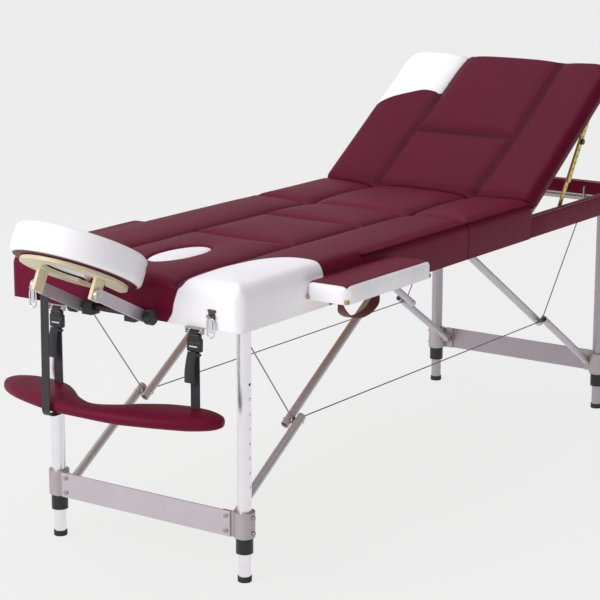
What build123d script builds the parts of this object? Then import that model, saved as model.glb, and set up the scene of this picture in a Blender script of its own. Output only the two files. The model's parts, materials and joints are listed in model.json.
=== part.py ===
"""Portable massage table: a suitcase-fold table on four telescopic legs, with a lift-up
backrest, a face cradle, an arm sling and two slide-out armrests.

Frame: +Z up from the floor, +Y from the cradle end to the foot end, X across the table.
The origin lies on the floor under the middle of the whole object.
"""
import math
import os

from build123d import *

os.makedirs("parts", exist_ok=True)

# ---------------------------------------------------------------- driving dimensions (mm)
WIDTH = 650
HALF_LENGTH = 945
UNDERSIDE = 590
RAIL_HEIGHT = 55
RAIL_THICK = 20
DECK_THICK = 4
PAD_TOP = 687
FOLD_GAP = 1.5

CRADLE_TILT = 26
CRADLE_V, CRADLE_Z = -1097, 712
CRADLE_HALF = (140, 152)
CRADLE_PAD = 68
CRADLE_OUTER = -CRADLE_V + CRADLE_HALF[1] * math.cos(math.radians(CRADLE_TILT))
FOLD_Y = (CRADLE_OUTER - HALF_LENGTH) / 2

LEG_X = 270
LEG_FROM_END = 85
LEG_PIVOT_Z = 612
OUTER_TUBE_R = 16
OUTER_TUBE_BORE = 14.5
INNER_TUBE_R = 14.2
INNER_TUBE_WALL = 1.5
HOLE_PITCH = 200 / 6
CLAMP_BOTTOM, CLAMP_TOP = 104, 163
CLAMP_R = 24
BOLT_END_X = 298

BRACE_R = 10
UPPER_BRACE_X = 207
LOWER_BRACE_X = 235
BRACE_FOOT_Z = 134
BRACE_HEAD_V, BRACE_HEAD_Z = 135, 602
CABLE_X = 221
CABLE_ANCHOR = (838, 600)
CABLE_R = 1.5

PIN_Z = 581
FOLD_HINGE_X = 200
FOLD_KNUCKLE = 8.7

RECLINE = 34
BACK_HINGE_V, BACK_HINGE_Z = 330, 641
BACK_LENGTH = 588
BACK_CORNER = 60
STRUT_FOOT_V, STRUT_FOOT_Z = 535, 612
STRUT_HEAD_S, STRUT_HEAD_N = 480, -6
STRUT_BAR = 240
STRUT_KNOB = 124

SHAFT_V, SHAFT_Z = -978, 603
CRADLE_PIVOT_V, CRADLE_PIVOT_Z = -1125, 676
SLING_V, SLING_BOTTOM, SLING_THICK = -952, 372, 36
STRAP_XS = (-182, 208)
STRAP_BAR_Z = 580
FRONT_STRAP_X = -107
ARMREST_V = (-712, -358)
ARMREST_Z = (622, 662)
ARMREST_WIDTH = 112
ARMREST_RODS = (-640, -440)
ARMREST_ROD_Z = 632
HOOK_X, HOOK_V, HOOK_Z = 252, -953.5, 619
HANDLE_X, HANDLE_V, HANDLE_TOP, HANDLE_LOW = 312, (-545, -392), 582, 533

RAIL_TOP = UNDERSIDE + RAIL_HEIGHT
DECK_TOP = RAIL_TOP + DECK_THICK
SIDE = WIDTH / 2
LEG_V = HALF_LENGTH - LEG_FROM_END


def save(part, name):
    """Label a finished piece and write it as its own STEP file."""
    part.label = name
    export_step(part, f"parts/{name}.step")


def y_at(v):
    """The Y of a place given by its distance v from the fold, + towards the foot end."""
    return FOLD_Y + v


def block(x, v, z):
    """Add a box given by its low and high x, v and z to the part being built."""
    centre = ((x[0] + x[1]) / 2, y_at((v[0] + v[1]) / 2), (z[0] + z[1]) / 2)
    with Locations(centre):
        Box(x[1] - x[0], v[1] - v[0], z[1] - z[0])


def rod_x(x, v, z, radius, mode=Mode.ADD):
    """Add a round rod along X from x[0] to x[1]."""
    with BuildSketch(Plane.YZ.offset(x[0])) as profile:
        with Locations((y_at(v), z)):
            Circle(radius)
    extrude(profile.sketch, amount=x[1] - x[0], mode=mode)


def rod_z(x, v, z, radius, mode=Mode.ADD):
    """Add a round rod along Z from z[0] to z[1]."""
    with BuildSketch(Plane.XY.offset(z[0])) as profile:
        with Locations((x, y_at(v))):
            Circle(radius)
    extrude(profile.sketch, amount=z[1] - z[0], mode=mode)


def rod_y(x, v, z, radius, mode=Mode.ADD):
    """Add a round rod along Y from v[0] to v[1]."""
    with BuildSketch(Plane.XZ.offset(-y_at(v[1]))) as profile:
        with Locations((x, z)):
            Circle(radius)
    extrude(profile.sketch, amount=v[1] - v[0], mode=mode)


def rod_between(start, end, radius, mode=Mode.ADD):
    """Add a round rod between two (x, v, z) points."""
    a = Vector(start[0], y_at(start[1]), start[2])
    b = Vector(end[0], y_at(end[1]), end[2])
    with BuildSketch(Plane(origin=a, z_dir=b - a)) as profile:
        Circle(radius)
    extrude(profile.sketch, amount=(b - a).length, mode=mode)


# ---------------------------------------------------------------- wooden frame of each half
inner = SIDE - RAIL_THICK
RAIL_CORNER = 19
HINGE_RAIL_Z = (634, RAIL_TOP)
for end, sign in (("head", -1), ("foot", 1)):
    length = sorted((sign * FOLD_GAP, sign * HALF_LENGTH))
    with BuildPart() as rails:
        for side in (-1, 1):
            block(sorted((side * (inner + 0.02), side * SIDE)), length, (UNDERSIDE, RAIL_TOP))
        uprights = rails.edges().filter_by(Axis.Z).sort_by(lambda e: sign * e.center().Y)[-4:]
        fillet(uprights.sort_by(lambda e: abs(e.center().X))[-2:], RAIL_CORNER)
        end_v = sorted((sign * HALF_LENGTH, sign * (HALF_LENGTH - RAIL_THICK)))
        fold_v = sorted((sign * FOLD_GAP, sign * (FOLD_GAP + RAIL_THICK)))
        for span in (end_v, fold_v):
            block((-inner, inner), span, (UNDERSIDE, RAIL_TOP))
        block((-inner, inner), sorted((sign * 115, sign * 155)), (630, RAIL_TOP))
        if sign < 0:
            for side in (-1, 1):
                rod_y(side * 60, end_v, SHAFT_Z, 8.05, Mode.SUBTRACT)
                for hole_v in ARMREST_RODS:
                    wall = sorted((side * 300, side * 330))
                    rod_x(wall, hole_v, ARMREST_ROD_Z, 6.05, Mode.SUBTRACT)
        else:
            block((-inner, inner), (BACK_HINGE_V - 44, BACK_HINGE_V - 4), HINGE_RAIL_Z)
    save(rails.part, f"{end}_frame_rails")

# ---------------------------------------------------------------- decks and pads
FACE_HOLE_V = -736
FACE_HOLE = (94, 208)
SEAT_END = BACK_HINGE_V - 4


def face_hole(z, shrink=0.0):
    """Sketch the oval face hole on a level plane."""
    with BuildSketch(Plane.XY.offset(z)) as oval:
        with Locations((0, y_at(FACE_HOLE_V))):
            Ellipse(FACE_HOLE[0] / 2 - shrink, FACE_HOLE[1] / 2 - shrink)
    return oval.sketch


def pad_block(v, corners, radius=18):
    """Add a padded top from v[0] to v[1]; a named end has its two corners rounded."""
    with BuildSketch(Plane.XY.offset(DECK_TOP)) as outline:
        with Locations((0, y_at((v[0] + v[1]) / 2))):
            Rectangle(WIDTH, v[1] - v[0])
        if corners == "low":
            fillet(outline.vertices().sort_by(Axis.Y)[:2], 30)
    extrude(outline.sketch, amount=PAD_TOP - DECK_TOP)
    fillet(faces().sort_by(Axis.Z)[-1].edges(), radius)


with BuildPart() as head_deck:
    block((-SIDE, SIDE), (-HALF_LENGTH + 1, -FOLD_GAP), (RAIL_TOP, DECK_TOP))
    extrude(face_hole(RAIL_TOP), amount=DECK_THICK, mode=Mode.SUBTRACT)
    fillet(head_deck.edges().filter_by(Axis.Z).group_by(Axis.Y)[0], 29)
save(head_deck.part, "head_deck")

with BuildPart() as head_pad:
    pad_block((-HALF_LENGTH, -FOLD_GAP), "low")
    extrude(face_hole(DECK_TOP), amount=PAD_TOP - DECK_TOP, mode=Mode.SUBTRACT)
save(head_pad.part, "head_pad")

with BuildPart() as face_plug:
    extrude(face_hole(RAIL_TOP, 0.5), amount=PAD_TOP + 2 - RAIL_TOP)
    fillet(faces().sort_by(Axis.Z)[-1].edges(), 6)
save(face_plug.part, "face_hole_plug")

with BuildPart() as seat_deck:
    block((-SIDE, SIDE), (FOLD_GAP, SEAT_END), (RAIL_TOP, DECK_TOP))
save(seat_deck.part, "seat_deck")

with BuildPart() as seat_pad:
    pad_block((FOLD_GAP, SEAT_END), "none")
save(seat_pad.part, "seat_pad")

# ---------------------------------------------------------------- lift-up backrest
slope = math.radians(RECLINE)
back_plane = Plane(
    origin=(0, y_at(BACK_HINGE_V), BACK_HINGE_Z),
    x_dir=(1, 0, 0),
    z_dir=(0, -math.sin(slope), math.cos(slope)),
)
BOARD_N = (5.5, 10.5)
PAD_N = (10.5, 46)
PAD_START = 24
STAY_X = 289


def back_block(x, s, n):
    """Add a box on the backrest: s runs up it from the hinge, n stands off it."""
    with BuildSketch(back_plane.offset(n[0])) as profile:
        with Locations(((x[0] + x[1]) / 2, (s[0] + s[1]) / 2)):
            Rectangle(x[1] - x[0], s[1] - s[0])
    extrude(profile.sketch, amount=n[1] - n[0])


def back_panel(start, end, inset, corner, n):
    """Add a panel across the whole backrest with its two upper corners rounded."""
    with BuildSketch(back_plane.offset(n[0])) as outline:
        with Locations((0, (start + end) / 2)):
            Rectangle(WIDTH - 2 * inset, end - start)
        fillet(outline.vertices().sort_by(Axis.Z)[-2:], corner)
    extrude(outline.sketch, amount=n[1] - n[0])


with BuildPart() as back_board:
    back_panel(10, BACK_LENGTH - 1, 1, BACK_CORNER - 1, BOARD_N)
save(back_board.part, "backrest_board")

with BuildPart() as back_pad:
    back_panel(PAD_START, BACK_LENGTH, 0, BACK_CORNER, PAD_N)
    top = back_pad.faces().sort_by(lambda f: f.center().dot(back_plane.z_dir))[-1]
    fillet(top.edges(), 18)
save(back_pad.part, "backrest_pad")

head_v = BACK_HINGE_V + STRUT_HEAD_S * math.cos(slope) - STRUT_HEAD_N * math.sin(slope)
head_z = BACK_HINGE_Z + STRUT_HEAD_S * math.sin(slope) + STRUT_HEAD_N * math.cos(slope)
stay_angle = math.atan2(head_z - STRUT_FOOT_Z, head_v - STRUT_FOOT_V)

with BuildPart() as back_brackets:
    for place in (-200, 0, 200):
        rod_x((place - 12, place + 12), BACK_HINGE_V, BACK_HINGE_Z, 3.6)
        back_block((place - 12, place + 12), (0, 34), (3.4, BOARD_N[0]))
        back_block((place - 12, place + 12), (0, 3), (0, BOARD_N[0]))
        rod_x((place - 13, place + 13), BACK_HINGE_V, BACK_HINGE_Z, 2.05, Mode.SUBTRACT)
    for side in (-1, 1):
        rod_x(sorted((side * (STAY_X + 3.5), side * (STAY_X + 9))), head_v, head_z, 3)
        plate = (STRUT_HEAD_S - 20, STRUT_HEAD_S + 20)
        back_block(sorted((side * (STAY_X + 8), side * (STAY_X + 13))), plate, (-14, BOARD_N[0]))
save(back_brackets.part, "backrest_brackets")

with BuildPart() as hinge_plates:
    for place in (-200, 0, 200):
        for low in (place - 24.4, place + 12.4):
            rod_x((low, low + 12), BACK_HINGE_V, BACK_HINGE_Z, 3.6)
            leaf = (BACK_HINGE_V - 4, BACK_HINGE_V - 2)
            block((low, low + 12), leaf, (HINGE_RAIL_Z[0], BACK_HINGE_Z))
        rod_x((place - 24.4, place + 24.4), BACK_HINGE_V, BACK_HINGE_Z, 2.0)
save(hinge_plates.part, "backrest_hinge_plates")


# ---------------------------------------------------------------- backrest stay bars
def stay_bar(x, foot, direction, length, holes):
    """Add a flat perforated bar in a YZ plane, from its pivot along the given angle."""
    lay = Plane(
        origin=(x[0], y_at(foot[0]), foot[1]),
        x_dir=(0, math.cos(direction), math.sin(direction)),
        z_dir=(1, 0, 0),
    )
    places = [(length * (0.3 + 0.65 * i / (holes - 1)), 0) for i in range(holes)]
    with BuildSketch(lay) as profile:
        with Locations((length / 2, 0)):
            SlotCenterToCenter(length, 16)
        Circle(3.05, mode=Mode.SUBTRACT)
        with Locations(places):
            Circle(3.3, mode=Mode.SUBTRACT)
    extrude(profile.sketch, amount=x[1] - x[0])


with BuildPart() as lower_stays:
    for side in (-1, 1):
        layer = sorted((side * STAY_X, side * (STAY_X + 3)))
        stay_bar(layer, (STRUT_FOOT_V, STRUT_FOOT_Z), stay_angle, STRUT_BAR, 9)
save(lower_stays.part, "stay_lower_bars")

with BuildPart() as upper_stays:
    for side in (-1, 1):
        layer = sorted((side * (STAY_X + 4), side * (STAY_X + 7)))
        stay_bar(layer, (head_v, head_z), stay_angle + math.pi, STRUT_BAR, 9)
save(upper_stays.part, "stay_upper_bars")

with BuildPart() as stay_knobs:
    knob_v = head_v - STRUT_KNOB * math.cos(stay_angle)
    knob_z = head_z - STRUT_KNOB * math.sin(stay_angle)
    for side in (-1, 1):
        rod_x(sorted((side * (STAY_X + 7.05), side * (STAY_X + 13))), knob_v, knob_z, 8)
save(stay_knobs.part, "stay_knobs")

# ---------------------------------------------------------------- fold hinges
KNUCKLE_R = 4
FOLD_LEAF_Z = (UNDERSIDE - 3, UNDERSIDE)
for end, sign, knuckles in (
    ("head", -1, ((-16, -9), (9, 16))),
    ("foot", 1, ((-FOLD_KNUCKLE, FOLD_KNUCKLE),)),
):
    with BuildPart() as fold_plates:
        for middle in (-FOLD_HINGE_X, FOLD_HINGE_X):
            leaf = sorted((sign * 12, sign * 42))
            block((middle - 16, middle + 16), leaf, FOLD_LEAF_Z)
            for low, high in knuckles:
                width = (middle + low, middle + high)
                rod_x(width, 0, PIN_Z, KNUCKLE_R)
                block(width, sorted((sign * 2, sign * 12)), (PIN_Z + 2, UNDERSIDE))
                block(width, sorted((0, sign * 4)), (PIN_Z, PIN_Z + 6))
            if sign < 0:
                rod_x((middle - 16, middle + 16), 0, PIN_Z, 2.0)
            else:
                rod_x((middle - 17, middle + 17), 0, PIN_Z, 2.05, Mode.SUBTRACT)
    save(fold_plates.part, f"{end}_fold_plates")

# ---------------------------------------------------------------- leg frames
BUTTON_Z = 421
HOLE_ZS = [BUTTON_Z + HOLE_PITCH * (1 - i) for i in range(8)]
BORE_CLEARANCE = 0.05
for end, sign in (("head", -1), ("foot", 1)):
    v = sign * LEG_V
    with BuildPart() as outer_tubes:
        for side in (-1, 1):
            rod_z(side * LEG_X, v, (84, LEG_PIVOT_Z), OUTER_TUBE_R)
            rod_x(sorted((side * 255, side * 285)), v, LEG_PIVOT_Z, 13)
            rod_z(side * LEG_X, v, (83, 590), OUTER_TUBE_BORE, Mode.SUBTRACT)
            rod_x(sorted((side * 250, side * 290)), v, LEG_PIVOT_Z, 8.05, Mode.SUBTRACT)
            for z in HOLE_ZS:
                rod_x(sorted((side * LEG_X, side * 290)), v, z, 3.4, Mode.SUBTRACT)
    save(outer_tubes.part, f"{end}_outer_leg_tubes")

    with BuildPart() as steelwork:
        rod_x((-299, 299), v, LEG_PIVOT_Z, 8)
        for side in (-1, 1):
            for z in (CLAMP_BOTTOM + 12, CLAMP_TOP - 12):
                rivet = sorted((v + sign * 20, v + sign * 22.5))
                rod_y(side * 233, rivet, z, 5.5)
                rod_x(sorted((side * (LEG_X + CLAMP_R), side * BOLT_END_X)), v, z, 4.5)
            pin = sorted((side * 221, side * 250))
            rod_x(pin, v, BRACE_FOOT_Z, 3)
            rod_x(sorted((side * 221, side * 224.6)), v, BRACE_FOOT_Z, 6)
    save(steelwork.part, f"{end}_leg_pins")

    with BuildPart() as clamps:
        for side in (-1, 1):
            rod_z(side * LEG_X, v, (CLAMP_BOTTOM, CLAMP_TOP), CLAMP_R)
            ear = sorted((side * 222, side * LEG_X))
            block(ear, sorted((v + sign * 11, v + sign * 16)), (CLAMP_BOTTOM, CLAMP_TOP))
            bore = OUTER_TUBE_R + BORE_CLEARANCE
            rod_z(side * LEG_X, v, (CLAMP_BOTTOM - 1, CLAMP_TOP + 1), bore, Mode.SUBTRACT)
            rod_x(sorted((side * 240, side * 262)), v, BRACE_FOOT_Z, 3, Mode.SUBTRACT)
    save(clamps.part, f"{end}_leg_clamps")

    with BuildPart() as crossbar:
        block((-244, 244), sorted((v + sign * 16.02, v + sign * 20)), (CLAMP_BOTTOM, CLAMP_TOP))
    save(crossbar.part, f"{end}_crossbar")

    with BuildPart() as collars:
        for side in (-1, 1):
            rod_z(side * LEG_X, v, (67, 100), 19.5)
            rod_z(side * LEG_X, v, (66, 84), OUTER_TUBE_BORE, Mode.SUBTRACT)
            bore = OUTER_TUBE_R + BORE_CLEARANCE
            rod_z(side * LEG_X, v, (84, 101), bore, Mode.SUBTRACT)
    save(collars.part, f"{end}_leg_collars")

    for side_name, side in (("far", -1), ("near", 1)):
        leg = f"{end}_{side_name}"
        with BuildPart() as inner_tube:
            rod_z(side * LEG_X, v, (4, 445), INNER_TUBE_R)
            rod_z(side * LEG_X, v, (3, 446), INNER_TUBE_R - INNER_TUBE_WALL, Mode.SUBTRACT)
            rod_x(sorted((side * LEG_X, side * 290)), v, BUTTON_Z, 3.08, Mode.SUBTRACT)
        save(inner_tube.part, f"{leg}_inner_tube")
        with BuildPart() as foot_cap:
            rod_z(side * LEG_X, v, (0, 13), 16)
            rod_z(side * LEG_X, v, (4, 14), INNER_TUBE_R + BORE_CLEARANCE, Mode.SUBTRACT)
            fillet(foot_cap.faces().sort_by(Axis.Z)[0].edges(), 1.5)
        save(foot_cap.part, f"{leg}_foot_cap")
        with BuildPart() as button:
            rod_x(sorted((side * (LEG_X + 7), side * (LEG_X + 18.5))), v, BUTTON_Z, 3.0)
            rod_x(sorted((side * (LEG_X + 7), side * (LEG_X + 10.5))), v, BUTTON_Z, 5)
            fillet(button.edges().sort_by(Axis.X)[-1 if side > 0 else 0], 1)
        save(button.part, f"{leg}_height_button")


# ---------------------------------------------------------------- folding braces and cables
def toward(start, end, distance):
    """The (v, z) point the given distance from start on the way to end."""
    length = math.hypot(end[0] - start[0], end[1] - start[1])
    step = distance / length
    return start[0] + (end[0] - start[0]) * step, start[1] + (end[1] - start[1]) * step


BRACE_OVERHANG = 18
BRACE_WALL = 1.5
CABLE_EYE = 10
for end, sign in (("head", -1), ("foot", 1)):
    foot = (sign * LEG_V, BRACE_FOOT_Z)
    top = (sign * BRACE_HEAD_V, BRACE_HEAD_Z)
    reach = math.hypot(foot[0] - top[0], foot[1] - top[1])
    folded_foot_v = LEG_V - (LEG_PIVOT_Z - BRACE_FOOT_Z)
    folded = math.hypot(folded_foot_v - BRACE_HEAD_V, LEG_PIVOT_Z - BRACE_HEAD_Z)
    lower_length = (reach - folded) / 2
    knee = toward(foot, top, lower_length)

    for name, pivot, x, stub in (
        ("upper", top, UPPER_BRACE_X, (UPPER_BRACE_X - 14, 220.8)),
        ("lower", foot, LOWER_BRACE_X, (221.2, LOWER_BRACE_X + 14)),
    ):
        far_end = toward(pivot, knee, math.dist(pivot, knee) + BRACE_OVERHANG)
        with BuildPart() as brace:
            for side in (-1, 1):
                start = (side * x, *toward(pivot, knee, 14))
                past = (side * x, *toward(pivot, far_end, math.dist(pivot, far_end) + 1))
                rod_between((side * x, *pivot), (side * x, *far_end), BRACE_R)
                eye = (x - BRACE_R, x + BRACE_R)
                rod_x(sorted((side * eye[0], side * eye[1])), *pivot, BRACE_R)
                rod_between(start, past, BRACE_R - BRACE_WALL, Mode.SUBTRACT)
                bore = sorted((side * (eye[0] - 1), side * (eye[1] + 1)))
                rod_x(bore, *pivot, 3.05, Mode.SUBTRACT)
                rod_x(sorted((side * stub[0], side * stub[1])), *knee, 3)
        save(brace.part, f"{end}_{name}_braces")

    with BuildPart() as cables:
        for side in (-1, 1):
            anchor = (sign * CABLE_ANCHOR[0], CABLE_ANCHOR[1])
            below = (sign * 0.4, knee[1])
            for target, gap in ((anchor, CABLE_EYE), (below, 0)):
                near_knee = toward(knee, target, 5)
                cable_end = toward(target, knee, gap)
                rod_between((side * CABLE_X, *near_knee), (side * CABLE_X, *cable_end), CABLE_R)
    save(cables.part, f"{end}_cables")

    with BuildPart() as brackets:
        for side in (-1, 1):
            low, high = sorted((side * 292, side * inner))
            block((low, high), (foot[0] - 18, foot[0] + 18), (LEG_PIVOT_Z - 14, RAIL_TOP))
            rod_x((low - 1, high + 1), foot[0], LEG_PIVOT_Z, 8.08, Mode.SUBTRACT)
            for ear in (side * (UPPER_BRACE_X - 12), side * (UPPER_BRACE_X + 12)):
                block((ear - 1.5, ear + 1.5), (top[0] - 10, top[0] + 10), (BRACE_HEAD_Z - 8, 630))
            pin = sorted((side * (UPPER_BRACE_X - 12), side * (UPPER_BRACE_X + 12)))
            rod_x(pin, *top, 3)
            tab_x = sorted((side * (CABLE_X - 2), side * (CABLE_X + 2)))
            tab_v = sorted((sign * (CABLE_ANCHOR[0] - 5), sign * (CABLE_ANCHOR[0] + 5)))
            block(tab_x, tab_v, (CABLE_ANCHOR[1] - 6, RAIL_TOP))
        if sign < 0:
            for side in (-1, 1):
                plate = sorted((side * (HOOK_X - 12), side * (HOOK_X + 12)))
                block(plate, (-948, -945), (HOOK_Z - 7, HOOK_Z + 17))
                rod_y(side * HOOK_X, (-960, -947), HOOK_Z, 2)
                rod_y(side * HOOK_X, (-962, -959.5), HOOK_Z, 4)
            for strap_x in STRAP_XS:
                block((strap_x - 23, strap_x + 23), (-958, -928), (UNDERSIDE - 3, UNDERSIDE))
                rod_x((strap_x - 23, strap_x + 23), SLING_V, STRAP_BAR_Z, 3)
                for low in (strap_x - 23, strap_x + 20):
                    block((low, low + 3), (SLING_V - 4, SLING_V + 4), (STRAP_BAR_Z - 4, UNDERSIDE - 3))
            for place in HANDLE_V:
                rod_y(HANDLE_X, (place - 10, place + 10), 587, 3)
        else:
            for side in (-1, 1):
                pin = sorted((side * (STAY_X - 0.5), side * inner))
                rod_x(pin, STRUT_FOOT_V, STRUT_FOOT_Z, 3)
                washer = sorted((side * (STAY_X - 2.4), side * (STAY_X - 0.4)))
                rod_x(washer, STRUT_FOOT_V, STRUT_FOOT_Z, 6)
                rod_x(sorted((side * (STAY_X + 8), side * inner)), STRUT_FOOT_V, STRUT_FOOT_Z, 7)
    save(brackets.part, f"{end}_brackets")

# ---------------------------------------------------------------- face cradle
tilt = math.radians(CRADLE_TILT)
cradle_plane = Plane(
    origin=(0, y_at(CRADLE_V), CRADLE_Z),
    x_dir=(1, 0, 0),
    z_dir=(0, math.sin(tilt), math.cos(tilt)),
)


def horseshoe(outer, hole, mouth):
    """Sketch an oval ring, open on the table's side over the mouth's width."""
    Ellipse(*outer)
    Ellipse(*hole, mode=Mode.SUBTRACT)
    with Locations((0, outer[1] / 2)):
        Rectangle(mouth, outer[1], mode=Mode.SUBTRACT)


with BuildPart() as cradle_cushion:
    with BuildSketch(cradle_plane):
        horseshoe(CRADLE_HALF, (56, 74), 60)
    extrude(amount=CRADLE_PAD)
save(cradle_cushion.part, "cradle_cushion")

PLATE_INSET = 26
with BuildPart() as cradle_plate:
    with BuildSketch(cradle_plane.offset(-10)):
        horseshoe((CRADLE_HALF[0] - PLATE_INSET, CRADLE_HALF[1] - PLATE_INSET), (62, 80), 76)
    extrude(amount=8)
    pivot_out = (CRADLE_V - CRADLE_PIVOT_V) * math.cos(tilt)
    pivot_s = pivot_out + (CRADLE_PIVOT_Z - CRADLE_Z) * math.sin(tilt)
    for side in (-1, 1):
        with BuildSketch(cradle_plane.offset(-58)):
            with Locations((side * 79, -pivot_s)):
                Rectangle(8, 30)
        extrude(amount=49)
        pin = sorted((side * 78, side * 94.5))
        rod_x(pin, CRADLE_PIVOT_V, CRADLE_PIVOT_Z, 4)
save(cradle_plate.part, "cradle_plate")

with BuildPart() as cradle_arms:
    arm_length = math.hypot(CRADLE_PIVOT_V - SHAFT_V, CRADLE_PIVOT_Z - SHAFT_Z)
    for side in (-1, 1):
        lay = Plane(
            origin=(min(side * 84, side * 92), y_at(SHAFT_V), SHAFT_Z),
            x_dir=(0, CRADLE_PIVOT_V - SHAFT_V, CRADLE_PIVOT_Z - SHAFT_Z),
            z_dir=(1, 0, 0),
        )
        with BuildSketch(lay):
            with Locations((arm_length / 2, 0)):
                SlotCenterToCenter(arm_length, 26)
            Circle(5.05, mode=Mode.SUBTRACT)
            with Locations((arm_length, 0)):
                Circle(4.05, mode=Mode.SUBTRACT)
        extrude(amount=8)
save(cradle_arms.part, "cradle_arms")

with BuildPart() as cradle_posts:
    rod_x((-112, 112), SHAFT_V, SHAFT_Z, 5)
    for side in (-1, 1):
        rod_y(side * 60, (SHAFT_V, -905), SHAFT_Z, 8)
        block(sorted((side * 46, side * 74)), (SHAFT_V - 14, SHAFT_V + 14), (SHAFT_Z - 14, SHAFT_Z + 14))
save(cradle_posts.part, "cradle_posts")

with BuildPart() as cradle_knobs:
    for side in (-1, 1):
        rod_x(sorted((side * 94, side * 101)), SHAFT_V, SHAFT_Z, 11)
        rod_x(sorted((side * 101, side * 116)), SHAFT_V, SHAFT_Z, 17)
        rod_x(sorted((side * 90, side * 112.5)), SHAFT_V, SHAFT_Z, 5.05, Mode.SUBTRACT)
save(cradle_knobs.part, "cradle_knobs")

# ---------------------------------------------------------------- arm sling
SLING_MIDDLE = -18
SLING_STRETCH = 0.975


def sling_point(x, v):
    """A corner of the sling's outline; x is given for a sling 4 % wider about X = 0."""
    return SLING_MIDDLE + SLING_STRETCH * x, y_at(v)


FRONT_EDGE = ((-318, -968), (-215, -1042), (0, -1078), (215, -1042), (318, -968))
BACK_EDGE = (
    (318, -968), (275, -934), (205, -918), (125, -950), (0, -1027),
    (-125, -950), (-205, -918), (-275, -934), (-318, -968),
)
with BuildPart() as sling_cushion:
    with BuildSketch(Plane.XY.offset(SLING_BOTTOM)):
        with BuildLine():
            Spline(*[sling_point(*place) for place in FRONT_EDGE])
            Spline(*[sling_point(*place) for place in BACK_EDGE])
        make_face()
    extrude(amount=SLING_THICK)
save(sling_cushion.part, "sling_cushion")

SLING_TOP = SLING_BOTTOM + SLING_THICK
with BuildPart() as sling_straps:
    for x in STRAP_XS:
        block((x - 12.5, x + 12.5), (SLING_V - 1, SLING_V + 1), (SLING_TOP + 0.3, 584))
        block((x - 19, x + 19), (SLING_V - 6, SLING_V + 6), (533, 584))
        block((x - 12.5, x + 12.5), (SLING_V - 6, SLING_V - 4.5), (478, 534))
        rod_x((x - 20, x + 20), SLING_V, STRAP_BAR_Z, 3.1, Mode.SUBTRACT)
save(sling_straps.part, "sling_straps")

with BuildPart() as front_strap:
    x = FRONT_STRAP_X
    block((x - 11, x + 11), (-1077, -1075), (368, 684))
    block((x - 11, x + 11), (-1077, -1035), (368, 370))
save(front_strap.part, "sling_front_strap")

# ---------------------------------------------------------------- armrests, hooks and handle
for name, side in (("far", -1), ("near", 1)):
    with BuildPart() as armrest:
        shell = sorted((side * (SIDE + 4), side * (SIDE + 4 + ARMREST_WIDTH)))
        block(shell, ARMREST_V, ARMREST_Z)
        fillet(armrest.edges().filter_by(Axis.Z), 12)
        fillet(armrest.faces().sort_by(Axis.Z)[-1].edges(), 6)
        for rod_v in ARMREST_RODS:
            rod_x(sorted((side * 297, side * (SIDE + 3.95))), rod_v, ARMREST_ROD_Z, 6)
    save(armrest.part, f"{name}_armrest")

    with BuildPart() as snap_hook:
        with BuildSketch(Plane.XZ.offset(-y_at(HOOK_V + 2.5))):
            with Locations((side * HOOK_X, HOOK_Z - 20.5)):
                SlotOverall(56, 20, rotation=90)
                SlotOverall(46, 10, rotation=90, mode=Mode.SUBTRACT)
        extrude(amount=5)
    save(snap_hook.part, f"{name}_snap_hook")

with BuildPart() as carry_handle:
    lay = Plane.YZ.offset(HANDLE_X - 13)
    middle = y_at((HANDLE_V[0] + HANDLE_V[1]) / 2)
    with BuildSketch(lay):
        with BuildLine():
            ends = [(y_at(place), HANDLE_TOP) for place in HANDLE_V]
            outer = ThreePointArc(ends[0], (middle, HANDLE_LOW), ends[1])
            inner_ends = [(ends[0][0] + 4, HANDLE_TOP), (ends[1][0] - 4, HANDLE_TOP)]
            Line(ends[1], inner_ends[1])
            ThreePointArc(inner_ends[1], (middle, HANDLE_LOW + 3), inner_ends[0])
            Line(inner_ends[0], ends[0])
        make_face()
    extrude(amount=26)
save(carry_handle.part, "carry_handle")
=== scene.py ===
"""Looks of the portable massage table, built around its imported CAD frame.

Places are given as (x, v, z): x across the table, v from the fold towards the foot end and
z up from the floor, in metres. The fold's Y in the row frame comes from the two pads.
"""
import json
import math

import bpy
import numpy as np
from mathutils import Matrix, Vector, noise


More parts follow.
